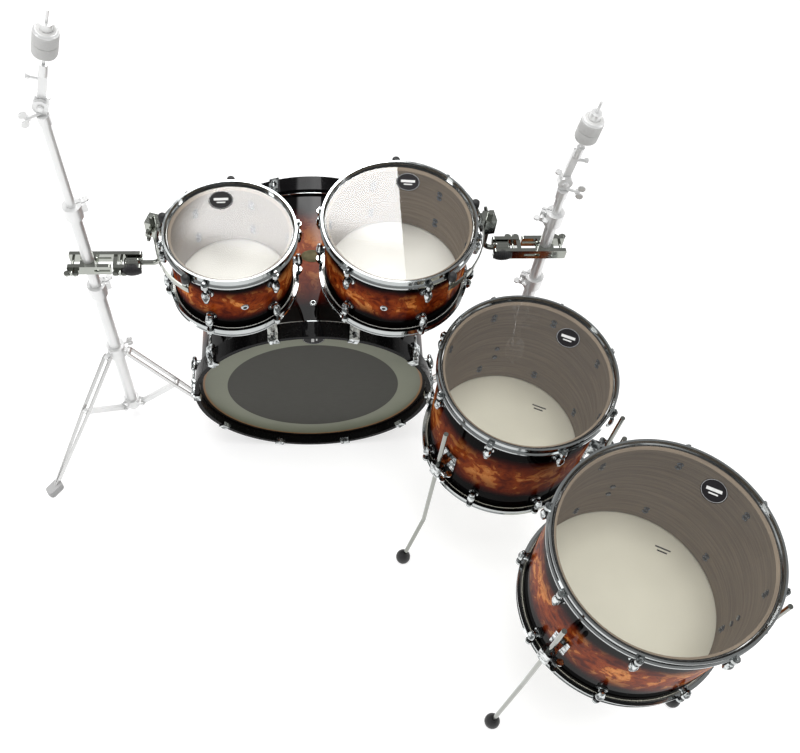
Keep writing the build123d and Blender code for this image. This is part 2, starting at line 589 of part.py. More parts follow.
def stand_clamp():
    """Hinged two-jaw clamp round the middle tube, with the ball joint at its inner end."""
    grip = MIDDLE_R + SOFT_GAP
    tail, split, tip = -45, 50, BALL_REACH + 20
    tube_hole = Cylinder(grip, 60)
    slot = Pos(30, 0, 0) * Box(34, 200, 7)
    v_block = Pos(0, grip / 2 + 1.5, 0) * Box(34, grip - 3, JAW_HEIGHT)
    far_jaw = clamp_jaw(1, tail, tip, JAW_HEIGHT) + v_block - tube_hole - slot
    near_jaw = clamp_jaw(-1, tail, split, JAW_HEIGHT) + mirror(v_block, about=Plane.XZ) - tube_hole - slot
    near_arm = clamp_jaw(-1, split + 4, tip, JAW_HEIGHT - 4)
    near_arm += Pos(split + 8, 0, 0) * Box(9, 2 * grip, 18)
    ball = Pos(BALL_REACH, 0, 0) * Rot(0, 90, 0) * Cylinder(MIDDLE_R, BALL_LENGTH)
    ball = rounded(ball, 8) - Rot(0, 90, 0) * Cylinder(L_ROD_R + RUN_FIT, 4 * THROUGH)
    bolts = []
    for x in (tail + 9, BALL_REACH - 26):
        across = Pos(x, 0, 0) * Rot(90, 0, 0)
        bolts.append(across * Pos(0, 0, -grip - JAW_WALL) * wing_bolt(2 * (grip + JAW_WALL)))
        bore = across * Cylinder(3 + RUN_FIT, 2 * THROUGH)
        far_jaw -= bore
        near_jaw -= bore
        near_arm -= bore
    return [far_jaw, near_jaw, near_arm, ball, *bolts]


def cymbal_tilter(stand):
    """Tilting arm with its rod, seat, felts, nut and grip; the tilt axis is at the origin."""
    arm_top, rod_y = 100, 3
    disc = Rot(90, 0, 0) * Cylinder(TILT_DISC_R, TILT_DISC)
    arm = Pos(0, 10, 0) * (disc + Box(16, TILT_DISC, arm_top - 14, align=BOTTOM))
    on_rod = Pos(0, rod_y, 0)
    arm += on_rod * Pos(0, 0, arm_top - 26) * Cylinder(8, 26, align=BOTTOM)
    arm += on_rod * Pos(0, 0, arm_top) * Cylinder(CYMBAL_ROD_R, CYMBAL_ROD_TOP - arm_top, align=BOTTOM)
    rod_hole = on_rod * Cylinder(CYMBAL_ROD_R, 4 * THROUGH, align=BOTTOM)
    seat = on_rod * Pos(0, 0, FELTS[0][0] - 4.5) * Cylinder(12, 4, align=BOTTOM) - rod_hole
    felts = []
    for low, high in FELTS:
        felt = rounded(Cylinder(FELT_R, high - low, align=BOTTOM), 5)
        felts.append(on_rod * Pos(0, 0, low) * felt - rod_hole)
    nut = on_rod * Pos(0, 0, FELTS[1][1] + 1) * Cylinder(11, 14, align=BOTTOM) - rod_hole
    grip = Pos(0, 17, 0) * Rot(-90, 0, 0) * wing_bolt(6)
    lean = Rot(0, stand["lean"], 0)
    return [lean * piece for piece in (arm, seat, *felts, nut, grip)]


def upper_tube(stand):
    """Solid upper rod with the fixed ratchet cheek of the tilter on top."""
    tilter_z = stand["tilter"]
    low = stand["middle"] - UPPER_OVERLAP
    rod = Pos(0, 0, low) * Cylinder(UPPER_R, tilter_z - low - 20, align=BOTTOM)
    disc = Rot(90, 0, 0) * Cylinder(TILT_DISC_R, TILT_DISC)
    cheek = Pos(0, 1.5, tilter_z) * (disc + Box(16, TILT_DISC, 24, align=TOP))
    neck = Pos(0, 0, tilter_z - 40) * Cylinder(12, 22, align=BOTTOM)
    return rod + cheek + neck


def cymbal_stand(name, stand):
    place = at(*stand["plan"])
    bore_middle, bore_upper = MIDDLE_R + RUN_FIT, UPPER_R + RUN_FIT
    lock_angle = 90 - 65 * stand["side"]

    lower = tube(LOWER_R, bore_middle, TUBE_BASE, stand["lower"] - LOCK_HEIGHT)
    lower_lock = memory_lock(LOWER_R, bore_middle, stand["lower"], lock_angle)
    save(f"{name}_lower_tube", *[place * piece for piece in (lower, hub(stand["legs"]), *lower_lock)])

    bolt_place = polar(lock_angle, LOWER_R + COLLAR_WALL_STAND, COLLAR_PIVOT_Z + 14) * Rot(0, 90, 0)
    save(f"{name}_collar", place * leg_collar(stand["legs"]), place * bolt_place * wing_bolt(8))
    for number, angle in enumerate(stand["legs"], 1):
        turn = place * Rot(0, 0, angle)
        save(f"{name}_leg_{number}", *[turn * piece for piece in tripod_leg()])
        save(f"{name}_brace_{number}", *[turn * piece for piece in tripod_brace()])

    middle = tube(MIDDLE_R, bore_upper, stand["lower"] - MIDDLE_OVERLAP, stand["middle"] - LOCK_HEIGHT)
    middle_lock = memory_lock(MIDDLE_R, bore_upper, stand["middle"], lock_angle)
    save(f"{name}_middle_tube", *[place * piece for piece in (middle, *middle_lock)])
    save(f"{name}_upper_tube", place * upper_tube(stand))
    on_tilt_axis = place * Pos(0, 0, stand["tilter"])
    save(f"{name}_tilter", *[on_tilt_axis * piece for piece in cymbal_tilter(stand)])
    facing = Rot(0, 0, 0 if stand["side"] > 0 else 180)
    on_clamp = place * Pos(0, 0, stand["clamp"]) * facing
    save(f"{name}_clamp", *[on_clamp * piece for piece in stand_clamp()])


os.makedirs("parts", exist_ok=True)
bass_drum()
rack_tom("tom_10", TOM_10, LEFT_STAND)
rack_tom("tom_12", TOM_12, RIGHT_STAND)
floor_tom("floor_tom_14", FLOOR_14)
floor_tom("floor_tom_16", FLOOR_16)
cymbal_stand("left_stand", LEFT_STAND)
cymbal_stand("right_stand", RIGHT_STAND)
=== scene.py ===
import json
import math

import bmesh
import bpy
from mathutils import Matrix, Vector


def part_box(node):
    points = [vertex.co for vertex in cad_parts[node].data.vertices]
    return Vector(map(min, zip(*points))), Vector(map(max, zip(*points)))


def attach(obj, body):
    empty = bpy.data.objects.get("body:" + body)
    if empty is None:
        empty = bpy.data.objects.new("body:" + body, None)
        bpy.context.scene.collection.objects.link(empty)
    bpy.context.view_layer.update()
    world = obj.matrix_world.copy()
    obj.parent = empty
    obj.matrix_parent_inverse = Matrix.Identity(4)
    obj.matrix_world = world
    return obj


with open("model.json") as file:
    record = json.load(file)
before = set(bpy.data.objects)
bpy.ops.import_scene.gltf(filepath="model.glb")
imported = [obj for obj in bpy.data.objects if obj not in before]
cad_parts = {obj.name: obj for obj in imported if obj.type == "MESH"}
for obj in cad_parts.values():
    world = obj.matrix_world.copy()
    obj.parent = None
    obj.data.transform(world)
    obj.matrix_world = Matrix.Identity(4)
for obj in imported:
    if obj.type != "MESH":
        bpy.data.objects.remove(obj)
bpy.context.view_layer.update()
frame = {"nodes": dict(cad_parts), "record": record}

# Acoustic drum kit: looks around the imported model. Metres, +Z up, +Y away from the player.

MM = 0.001
INCH = 25.4 * MM

# Each drum: depth of the shell, tilt of its axis about X, lugs, angle of the first lug and the body it
# rides on. The angle, distance (as a share of the radius) and turn of the round badge on its batter
# head, the angle and height of its air vent, and the angles of a rack tom's grommets. Last what sets
# its finish apart: how far the veneer is darkened (on the 14-inch floor tom that darkening is painted
# shade, for the 16-inch floor tom's shadow on it), how far in the burst reaches, and its clear coat.
DRUMS = {
    "tom_10": dict(depth=6.5 * INCH, tilt=-2.0, lugs=6, first_lug=11, body="tom_10",
                   badge=(103.7, 0.706, 2), vent=(-76.9, -7 * MM), grommets=(91, 163, 235)),
    "tom_12": dict(depth=7 * INCH, tilt=0.0, lugs=6, first_lug=48, body="tom_12",
                   badge=(77.1, 0.728, -4), vent=(-102.5, -9 * MM), grommets=(-55, 17, 89)),
    # floor_tom_14's shade is painted shade: its veneer is darkened for the shadow of floor_tom_16
    # beside it.
    "floor_tom_14": dict(depth=12 * INCH, tilt=0.0, lugs=8, first_lug=15, body="standing_drums",
                         badge=(40.2, 0.711, -24), vent=(37.5, 0.0), shade=0.35),
    "floor_tom_16": dict(depth=12 * INCH, tilt=0.0, lugs=8, first_lug=22, body="standing_drums",
                         badge=(43.8, 0.760, -26), vent=(-45.5, 0.0), coat=0.2),
    "bass": dict(depth=16 * INCH, tilt=-87.2, lugs=10, first_lug=-72, body="standing_drums",
                 vent=(-90.0, -131 * MM), shade=0.58, spread=1.0, coat=0.3),
}
RACK_TOMS = ("tom_10", "tom_12")
FLOOR_TOMS = ("floor_tom_14", "floor_tom_16")
TOMS = RACK_TOMS + FLOOR_TOMS
LEG_ANGLES = (-145, -25, 95)      # where the floor toms' leg brackets sit
STANDS = {"left_stand": "left", "right_stand": "right"}     # how the names of its bodies start
ROD_LEAN = {"left_stand": 16, "right_stand": 5}             # degrees towards +X

SHELL_WALL = 6.5 * MM
VENEER = 1.2 * MM                # the shell's finish goes this far in from its outside
FILM = 0.7 * MM                  # thickness of a drum head's film
METAL_FROM = 1.4 * MM            # a head's metal flesh hoop starts this far outside the shell
FOOT_TOP = 27.2 * MM             # everything lower on a leg is its rubber foot
FOOT_R = 12 * MM                 # radius of a floor tom's rubber foot
SOLE_TOP = 4 * MM                # everything lower on a leg is its foot's flat end
SPUR_FOOT = 44 * MM              # length of a spur's rubber foot
SPUR_RUN = (25, 148, -214)       # way a spur points: outwards, to the front and down
LUG_CENTRE = 45 * MM             # a tom's lug foot below the bearing edge
BASS_LUG_CENTRE = 72 * MM
LUG_FLANGE_R = 10.5 * MM         # radius of a lug's foot
GROMMET_OFFSET = 19 * MM         # a grommet's axis outside the shell


def linear(red, green, blue):
    """Linear colour of an sRGB one whose channels run from 0 to 255."""
    channels = [c / 255 for c in (red, green, blue)]
    return [c / 12.92 if c <= 0.04045 else ((c + 0.055) / 1.055) ** 2.4 for c in channels] + [1.0]


def drum_frame(name):
    """The drum's own frame: origin in the shell's middle, +Z along its axis to the batter or front."""
    low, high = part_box(name + "_shell")
    tilt = Matrix.Rotation(math.radians(DRUMS[name]["tilt"]), 4, "X")
    return Matrix.Translation((low + high) / 2) @ tilt


def shell_radius(name):
    low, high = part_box(name + "_shell")
    return (high.x - low.x) / 2


def lug_places(name):
    """(angle, height) of every lug in the drum's own frame."""
    drum = DRUMS[name]
    level = drum["depth"] / 2 - (BASS_LUG_CENTRE if name == "bass" else LUG_CENTRE)
    angles = [drum["first_lug"] + k * 360 / drum["lugs"] for k in range(drum["lugs"])]
    return [(angle, height) for angle in angles for height in (level, -level)]


def radial(name, angle, radius, height):
    """Frame on a drum's side whose +Z points straight out from its axis."""
    turn = Matrix.Rotation(math.radians(angle), 4, "Z")
    out = Matrix.Translation((radius, 0, height)) @ Matrix.Rotation(math.pi / 2, 4, "Y")
    return drum_frame(name) @ turn @ out


def upright(name, angle, radius, height):
    """Frame beside a drum whose +Z is along the drum's axis and +X points out."""
    turn = Matrix.Rotation(math.radians(angle), 4, "Z")
    return drum_frame(name) @ turn @ Matrix.Translation((radius, 0, height))


# ---------------------------------------------------------------- materials

class Graph:
    """The shader nodes of a material, a light or the world."""

    def __init__(self, owner):
        owner.use_nodes = True
        self.nodes, self.links = owner.node_tree.nodes, owner.node_tree.links

    def put(self, socket, value):
        if isinstance(value, bpy.types.NodeSocket):
            self.links.new(value, socket)
        else:
            socket.default_value = value

    def node(self, kind, inputs, **settings):
        made = self.nodes.new("ShaderNode" + kind)
        for key, value in settings.items():
            setattr(made, key, value)
        for key, value in inputs.items():
            self.put(made.inputs[key], value)
        return made

    def math(self, operation, *values):
        made = self.node("Math", {}, operation=operation)
        for socket, value in zip(made.inputs, values):
            self.put(socket, value)
        return made.outputs[0]

    def ramp(self, factor, *stops):
        """Colour ramp of (position, colour) stops; a plain number stands for a grey."""
        made = self.node("ValToRGB", {"Fac": factor})
        elements = made.color_ramp.elements
        while len(elements) < len(stops):
            elements.new(1.0)
        for element, (position, colour) in zip(elements, stops):
            element.position = position
            element.color = colour if isinstance(colour, list) else [colour] * 3 + [1.0]
        return made.outputs["Color"]


class Recipe(Graph):
    """A node material in the making."""

    def __init__(self, name):
        self.material = bpy.data.materials.new(name)
        super().__init__(self.material)
        self.bsdf = self.nodes["Principled BSDF"]
        self.coords = self.node("TexCoord", {}).outputs["Object"]

    def scaled(self, vector, scale):
        return self.node("Mapping", {"Vector": vector, "Scale": scale}).outputs[0]

    def noise(self, vector, scale, detail=2.0, distortion=0.0):
        made = self.node("TexNoise", {"Vector": vector, "Scale": scale, "Detail": detail,
                                      "Distortion": distortion})
        return made.outputs["Fac"]

    def mix(self, factor, a, b):
        made = self.node("Mix", {}, data_type="RGBA")
        for index, value in ((0, factor), (6, a), (7, b)):
            self.put(made.inputs[index], value)
        return made.outputs[2]

    def bump(self, height, distance, strength):
        made = self.node("Bump", {"Height": height, "Distance": distance, "Strength": strength})
        return made.outputs[0]

    def surface(self, **values):
        """Set the shader's own sockets; a name's underscores stand for spaces."""
        for key, value in values.items():
            self.put(self.bsdf.inputs[key.replace("_", " ")], value)
        return self.material

    def drum_place(self, name):
        """(position in the drum's own frame, distance from its axis, height along it)."""
        centre, turn, _ = drum_frame(name).decompose()
        place = self.node("Mapping", {"Vector": self.coords, "Location": centre,
                                      "Rotation": turn.to_euler()}, vector_type="TEXTURE").outputs[0]
        x, y, height = self.node("SeparateXYZ", {"Vector": place}).outputs
        squares = self.math("ADD", self.math("POWER", x, 2.0), self.math("POWER", y, 2.0))
        return place, self.math("SQRT", squares), height

    def beyond(self, value, limit, soft=0.2 * MM):
        """0 where the value is under the limit, 1 where it is over it."""
        made = self.node("MapRange", {"Value": value, "From Min": limit - soft,
                                      "From Max": limit + soft})
        return made.outputs[0]

    def brushed(self, low, high):
        """Roughness that varies between two values, with faint wiping marks and smudges."""
        marks = self.noise(self.scaled(self.coords, (1, 1, 5)), 60, 4)
        made = self.node("MapRange", {"Value": marks, "From Min": 0.3, "From Max": 0.7,
                                      "To Min": low, "To Max": high})
        return made.outputs[0]


def figured_veneer(r, place, cloud):
    """Colour of amber burl: stepped patches, dark veins round and across them, and fine grain."""
    curl = r.noise(place, 33, 3, 0.9)
    figure = r.math("ADD", r.math("MULTIPLY", cloud, 0.5), r.math("MULTIPLY", curl, 0.5))
    amber = r.ramp(figure, (0.38, linear(84, 26, 10)), (0.46, linear(142, 58, 20)),
                   (0.515, linear(160, 74, 28)), (0.535, linear(198, 110, 50)),
                   (0.60, linear(226, 148, 80)))
    crease = r.math("ABSOLUTE", r.math("SUBTRACT", r.noise(place, 30, 3, 1.4), 0.5))
    across = r.math("MULTIPLY", r.ramp(crease, (0.0, 1.0), (0.018, 0.0)), 0.7)
    contour = r.math("ABSOLUTE", r.math("SUBTRACT", figure, 0.523))
    veins = r.math("MAXIMUM", across, r.ramp(contour, (0.0, 0.85), (0.009, 0.0)))
    grain = r.noise(r.scaled(place, (1, 1, 0.12)), 420, 3, 0.3)
    return r.mix(r.math("MULTIPLY", grain, 0.25), r.mix(veins, amber, linear(48, 13, 7)),
                 linear(90, 34, 10))


def burst_shell(name):
    """Figured veneer under gloss lacquer, amber in the middle and black at both ends; plain inside."""
    drum = DRUMS[name]
    r = Recipe(name + "_burst")
    place, distance, height = r.drum_place(name)
    outside = r.beyond(distance, shell_radius(name) - VENEER)
    cloud = r.noise(place, 14, 2, 0.8)
    # The shade share darkens the veneer; on floor_tom_14 it is painted shade for floor_tom_16's shadow.
    veneer = r.mix(drum.get("shade", 0.0), figured_veneer(r, place, cloud), linear(84, 36, 20))
    reach = r.math("DIVIDE", r.math("ABSOLUTE", height), drum["depth"] / 2)
    reach = r.math("MULTIPLY", reach, drum.get("spread", 1.18))
    wavy = r.math("ADD", reach, r.math("MULTIPLY", r.math("SUBTRACT", cloud, 0.5), 0.24))
    red = r.mix(r.ramp(wavy, (0.16, 0.0), (0.40, 0.55), (0.62, 1.0)), veneer, linear(60, 11, 7))
    burst = r.mix(r.ramp(wavy, (0.46, 0.0), (0.68, 1.0)), red, linear(4, 3, 3))
    ply = r.noise(r.scaled(place, (1, 1, 26)), 9, 4, 0.4)
    plain = r.ramp(ply, (0.3, linear(122, 108, 92)), (0.7, linear(146, 131, 112)))
    return r.surface(Base_Color=r.mix(outside, plain, burst),
                     Roughness=0.5, Specular_IOR_Level=0.0,
                     Coat_Weight=r.math("MULTIPLY", outside, drum.get("coat", 0.07)),
                     Coat_Roughness=0.03,
                     Normal=r.bump(r.noise(place, 9, 1), 0.5 * MM, 0.12))


def chrome(name="chrome", tint=(194, 198, 198)):
    """Polished plate with smudges, and the slight waviness of a cast part under it."""
    r = Recipe(name)
    haze = r.noise(r.coords, 22, 3)
    colour = r.mix(haze, linear(*tint), linear(*[0.86 * c for c in tint]))
    wave = r.noise(r.coords, 70, 1)
    return r.surface(Base_Color=colour, Metallic=1.0, Roughness=r.brushed(0.05, 0.13),
                     Normal=r.bump(wave, 0.2 * MM, 0.12))


def cast_chrome():
    """Plated castings: painted reflections (dark and bright colour streaks), a rippled bump and fine
    smudges.
    """
    r = Recipe("cast_chrome")
    # Painted reflection: the streaks' dark and bright greys stand in for surroundings mirrored in the
    # plate.
    painted_reflection_streak = r.noise(r.coords, 105, 2, 0.6)
    colour = r.ramp(painted_reflection_streak, (0.40, linear(74, 77, 78)), (0.50, linear(172, 176, 176)),
                    (0.60, linear(212, 216, 216)))
    return r.surface(Base_Color=colour, Metallic=1.0, Roughness=r.brushed(0.05, 0.13),
                     Normal=r.bump(r.noise(r.coords, 130, 1), 1.6 * MM, 0.6))


def satin_stand():
    """Pale satin plate of the cymbal stands, with fine lengthwise brushing."""
    r = Recipe("satin_stand")
    brush = r.noise(r.scaled(r.coords, (1, 1, 0.03)), 260, 2)
    colour = r.mix(r.noise(r.coords, 12, 3), linear(238, 238, 237), linear(220, 221, 221))
    return r.surface(Base_Color=colour, Metallic=0.55, Roughness=r.brushed(0.3, 0.4),
                     Normal=r.bump(brush, 0.02 * MM, 0.15))


def rubber():
    r = Recipe("rubber")
    speck = r.noise(r.coords, 1400, 2)
    colour = r.mix(r.noise(r.coords, 40, 3), linear(24, 24, 25), linear(38, 38, 39))
    return r.surface(Base_Color=colour, Roughness=r.brushed(0.42, 0.6),
                     Normal=r.bump(speck, 0.08 * MM, 0.5))


def with_rubber_foot(name, metal_colour, metallic, foot_shade, normal, offset):
    """Metal whose end, where position . normal is over the offset, is a rubber foot."""
    r = Recipe(name)
    along = r.node("VectorMath", {0: r.coords, 1: normal}, operation="DOT_PRODUCT").outputs["Value"]
    foot = r.beyond(along, offset)
    metal = r.mix(r.noise(r.coords, 22, 3), metal_colour, [c * 0.86 for c in metal_colour[:3]] + [1.0])
    black = r.mix(r.noise(r.coords, 60, 3), linear(*[foot_shade] * 3), linear(*[foot_shade + 15] * 3))
    not_foot = r.math("SUBTRACT", 1.0, foot)
    rough = r.math("ADD", r.brushed(0.06, 0.16), r.math("MULTIPLY", foot, 0.42))
    return r.surface(Base_Color=r.mix(foot, metal, black), Roughness=rough,
                     Metallic=r.math("MULTIPLY", not_foot, metallic),
                     Normal=r.bump(r.noise(r.coords, 300, 2), 0.1 * MM, 0.25))


def flesh_hoop(r, name, below):
    """The shader of a head: what is given inside the flesh hoop, and dull aluminium on the hoop."""
    _, distance, _ = r.drum_place(name)
    colour = r.mix(r.noise(r.coords, 30, 2), linear(205, 204, 200), linear(178, 176, 170))
    metal = r.node("BsdfPrincipled", {"Metallic": 1.0, "Roughness": r.brushed(0.22, 0.36),
                                      "Base Color": colour})
    on_hoop = r.beyond(distance, shell_radius(name) + METAL_FROM)
    mixed = r.node("MixShader", {0: on_hoop, 1: below, 2: metal.outputs[0]})
    r.put(r.nodes["Material Output"].inputs["Surface"], mixed.outputs[0])
    return r.material


def clear_film(name):
    """Clear polyester: mostly see-through, with a glossy face and a faint grey body."""
    r = Recipe(name + "_clear_film")
    r.surface(Base_Color=r.mix(r.noise(r.coords, 18, 3), linear(150, 148, 146), linear(172, 171, 170)),
              Roughness=r.brushed(0.015, 0.05), Specular_IOR_Level=0.5)
    gloss = r.node("BsdfGlossy", {"Color": (1, 1, 1, 1), "Roughness": 0.012})
    clear = r.node("BsdfTransparent", {"Color": (0.985, 0.985, 0.98, 1)})
    haze = r.node("MixShader", {0: 0.045, 1: clear.outputs[0], 2: r.bsdf.outputs[0]})
    outer_face = r.math("SUBTRACT", 1.0, r.node("NewGeometry", {}).outputs["Backfacing"])
    facing = r.math("MULTIPLY", r.node("Fresnel", {"IOR": 1.55}).outputs[0], outer_face)
    film = r.node("MixShader", {0: facing, 1: haze.outputs[0], 2: gloss.outputs[0]})
    return flesh_hoop(r, name, film.outputs[0])


def cream_film(name):
    """Satin cream film of a resonant head; the rack toms' is whiter."""
    r = Recipe(name + "_cream_film")
    shade = (246, 245, 238) if name in RACK_TOMS else (228, 225, 207)
    colour = r.mix(r.noise(r.coords, 16, 4), linear(*shade), linear(*[0.95 * c for c in shade]))
    r.surface(Base_Color=colour, Roughness=r.brushed(0.28, 0.4), Coat_Weight=0.15,
              Normal=r.bump(r.noise(r.coords, 700, 2), 0.03 * MM, 0.3))
    return flesh_hoop(r, name, r.bsdf.outputs[0])


def ringed_film(name, *rings):
    """Coloured film of the bass drum, whose (outer radius, colour) rings run from the middle out."""
    r = Recipe(name)
    _, distance, _ = r.drum_place("bass")
    colour = list(rings[0][1])
    for (edge, _), (_, outer_colour) in zip(rings, rings[1:]):
        colour = r.mix(r.beyond(distance, edge, 0.6 * MM), colour, outer_colour)
    mottle = r.noise(r.coords, 9, 4)
    colour = r.mix(r.math("MULTIPLY", mottle, 0.2), colour, linear(30, 29, 25))
    r.surface(Base_Color=colour, Roughness=r.brushed(0.3, 0.4), Specular_IOR_Level=0.12,
              Coat_Weight=0.1, Coat_Roughness=0.05,
              Normal=r.bump(r.noise(r.coords, 500, 2), 0.03 * MM, 0.3))
    return flesh_hoop(r, "bass", r.bsdf.outputs[0])


def gloss_black():
    """Black lacquer over wood: faint orange peel and dust under a hard coat."""
    r = Recipe("gloss_black")
    colour = r.mix(r.noise(r.coords, 25, 4), linear(5, 5, 6), linear(11, 10, 11))
    return r.surface(Base_Color=colour, Roughness=r.brushed(0.2, 0.3), Coat_Weight=0.15,
                     Specular_IOR_Level=0.02, Coat_Roughness=0.04,
                     Normal=r.bump(r.noise(r.coords, 25, 1), 0.1 * MM, 0.08))


def felt():
    r = Recipe("felt")
    fibre = r.noise(r.coords, 1300, 5, 1.5)
    colour = r.ramp(fibre, (0.3, linear(176, 176, 175)), (0.7, linear(204, 204, 202)))
    return r.surface(Base_Color=colour, Roughness=0.95, Sheen_Weight=0.4,
                     Normal=r.bump(fibre, 0.5 * MM, 0.8))


def brass():
    r = Recipe("brass")
    colour = r.mix(r.noise(r.coords, 90, 4), linear(92, 86, 62), linear(64, 58, 40))
    return r.surface(Base_Color=colour, Metallic=0.8, Roughness=r.brushed(0.4, 0.55),
                     Normal=r.bump(r.noise(r.coords, 500, 3), 0.1 * MM, 0.4))


def badge_print():
    """Dark printed foil of the plain round badges."""
    r = Recipe("badge_print")
    colour = r.mix(r.noise(r.coords, 160, 3), linear(17, 16, 18), linear(30, 28, 30))
    return r.surface(Base_Color=colour, Roughness=r.brushed(0.5, 0.6), Specular_IOR_Level=0.2)


def pale_print():
    """Light ink of the badges' plain marks."""
    r = Recipe("pale_print")
    colour = r.mix(r.noise(r.coords, 240, 3), linear(206, 206, 204), linear(176, 176, 175))
    return r.surface(Base_Color=colour, Roughness=r.brushed(0.4, 0.5))


def pale_floor():
    """White sweep that glows a little, so that shadows on it stay faint."""
    r = Recipe("pale_floor")
    colour = r.mix(r.noise(r.coords, 1.5, 3), linear(184, 184, 184), linear(178, 178, 178))
    return r.surface(Base_Color=colour, Roughness=0.85, Specular_IOR_Level=0.1,
                     Emission_Color=linear(255, 255, 255), Emission_Strength=0.62)


CHROME = chrome()
CAST = cast_chrome()
CLAMP = chrome("clamp_chrome", (176, 179, 172))
SCREW = chrome("blued_screw", (74, 82, 96))
SATIN = satin_stand()
RUBBER = rubber()
BLACK = gloss_black()
FELT = felt()
BRASS = brass()
BADGE = badge_print()
PRINT = pale_print()


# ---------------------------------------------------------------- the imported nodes' finishes

def finish_node(name, material):
    for slot in frame["nodes"][name].material_slots:
        slot.material = material


def spur_foot_plane(side):
    """Direction of a spur, pointing down it, and where along that its rubber foot starts."""
    out, ahead, up = SPUR_RUN
    down = Vector((out if side == "right" else -out, ahead, up)).normalized()
    tip = max(v.co.dot(down) for v in frame["nodes"][f"bass_{side}_spur"].data.vertices)
    return down, tip - SPUR_FOOT


for name in TOMS:
    finish_node(name + "_batter_head", clear_film(name))
    finish_node(name + "_bottom_head", cream_film(name))
    finish_node(name + "_hoops", CHROME)
    finish_node(name + "_lugs_and_rods", CAST)
for name in DRUMS:
    finish_node(name + "_shell", burst_shell(name))
for name in RACK_TOMS:
    finish_node(name + "_suspension", CLAMP)
for name in FLOOR_TOMS:
    finish_node(name + "_leg_brackets", CAST)
    finish_node(name + "_legs", with_rubber_foot(name + "_leg_finish", linear(152, 154, 148), 1.0, 18,
                                                 (0, 0, -1), -FOOT_TOP))
finish_node("bass_batter_head", ringed_film(
    "smoked_film", (0.213, linear(47, 46, 37)), (0.2685, linear(126, 129, 112)),
    (0.2735, linear(158, 122, 88)), (0.4, linear(26, 22, 18))))
finish_node("bass_front_head", ringed_film(
    "black_film", (0.272, linear(14, 14, 15)), (0.4, linear(40, 38, 36))))
finish_node("bass_batter_hoop", BLACK)
finish_node("bass_front_hoop", BLACK)
for part in ("lugs", "claws_and_rods", "spur_brackets"):
    finish_node("bass_" + part, CAST)
for side in ("left", "right"):
    node = f"bass_{side}_spur"
    finish_node(node, with_rubber_foot(node + "_finish", linear(206, 210, 210), 1.0, 18,
                                       *spur_foot_plane(side)))
STAND_LEG = with_rubber_foot("stand_leg_finish", linear(222, 222, 221), 0.55, 150,
                             (0, 0, -1), -FOOT_TOP)
for stand in STANDS:
    for part in ("lower_tube", "middle_tube", "upper_tube", "collar", "tilter"):
        finish_node(f"{stand}_{part}", SATIN)
    finish_node(stand + "_clamp", CLAMP)
    for number in (1, 2, 3):
        finish_node(f"{stand}_leg_{number}", STAND_LEG)
        finish_node(f"{stand}_brace_{number}", SATIN)


# ---------------------------------------------------------------- mesh helpers

def lathe(bm, profile, matrix, segments, closed=False):
    """Turn (radius, height) points about the matrix's Z; closed joins the last ring to the first."""
    angles = [2 * math.pi * k / segments for k in range(segments)]
    rings = []
    for radius, height in profile:
        spots = [Vector((radius * math.cos(a), radius * math.sin(a), height)) for a in angles]
        if radius == 0:
            spots = [Vector((0, 0, height))]
        rings.append([bm.verts.new(matrix @ spot) for spot in spots])
    pairs = list(zip(rings, rings[1:]))
    if closed:
        pairs.append((rings[-1], rings[0]))
    for one, two in pairs:
        for k in range(segments):
            after = (k + 1) % segments
            corners = (one[k % len(one)], one[after % len(one)],
                       two[after % len(two)], two[k % len(two)])
            bm.faces.new(dict.fromkeys(corners))


def piece(name, bm, material, body, sharp=35):
    """Finish a mesh: consistent normals, smooth shading with sharp corners, material and body."""
    bmesh.ops.recalc_face_normals(bm, faces=bm.faces)
    mesh = bpy.data.meshes.new(name)
    bm.to_mesh(mesh)
    bm.free()
    mesh.shade_smooth()
    mesh.set_sharp_from_angle(angle=math.radians(sharp))
    mesh.materials.append(material)
    made = bpy.data.objects.new(name, mesh)
    bpy.context.scene.collection.objects.link(made)
    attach(made, body)


def chamfered(radius, foot, face, edge=0.5 * MM):
    """Half profile of a disc from its foot to its chamfered face, whichever way that points."""
    way = 1 if face > foot else -1
    return [(0, foot), (radius, foot), (radius, face - way * edge), (radius - edge, face), (0, face)]


def rounded(radius, height, edge, start):
    """Quarter circle of a half profile, from the start angle on, that touches the given radius."""
    steps = 6
    angles = [math.radians(start + 90 * k / steps) for k in range(steps + 1)]
    return [(radius - edge + edge * math.cos(a), height + edge * math.sin(a)) for a in angles]


def dome(radius, low, high, edge):
    """Half profile of a button: straight side, rounded shoulder, slightly crowned top."""
    chamfer = 0.4 * MM
    crown = 0.08 * (radius - edge)
    return [(0, low), (radius - chamfer, low), (radius, low + chamfer),
            *rounded(radius, high - edge, edge, 0), (0, high + crown)]


# ---------------------------------------------------------------- pieces on every drum

def lug_screws(name):
    """Two screws with washers inside the shell behind each lug."""
    bm = bmesh.new()
    inside = shell_radius(name) - SHELL_WALL
    washer = chamfered(6.8 * MM, 0.2 * MM, -1.3 * MM)
    head = chamfered(3.8 * MM, -1.2 * MM, -4.2 * MM)
    for angle, height in lug_places(name):
        for step in (-6.5 * MM, 6.5 * MM):
            seat = radial(name, angle, inside, height + step)
            lathe(bm, washer, seat, 20)
            lathe(bm, head, seat, 6)
    piece(name + "_lug_screws", bm, SCREW, DRUMS[name]["body"], 25)


def lug_gaskets(name):
    """Thin black gasket under each lug's foot."""
    bm = bmesh.new()
    profile = chamfered(LUG_FLANGE_R + 0.9 * MM, -1 * MM, 1.2 * MM)
    for angle, height in lug_places(name):
        lathe(bm, profile, radial(name, angle, shell_radius(name), height), 28)
    piece(name + "_lug_gaskets", bm, RUBBER, DRUMS[name]["body"])


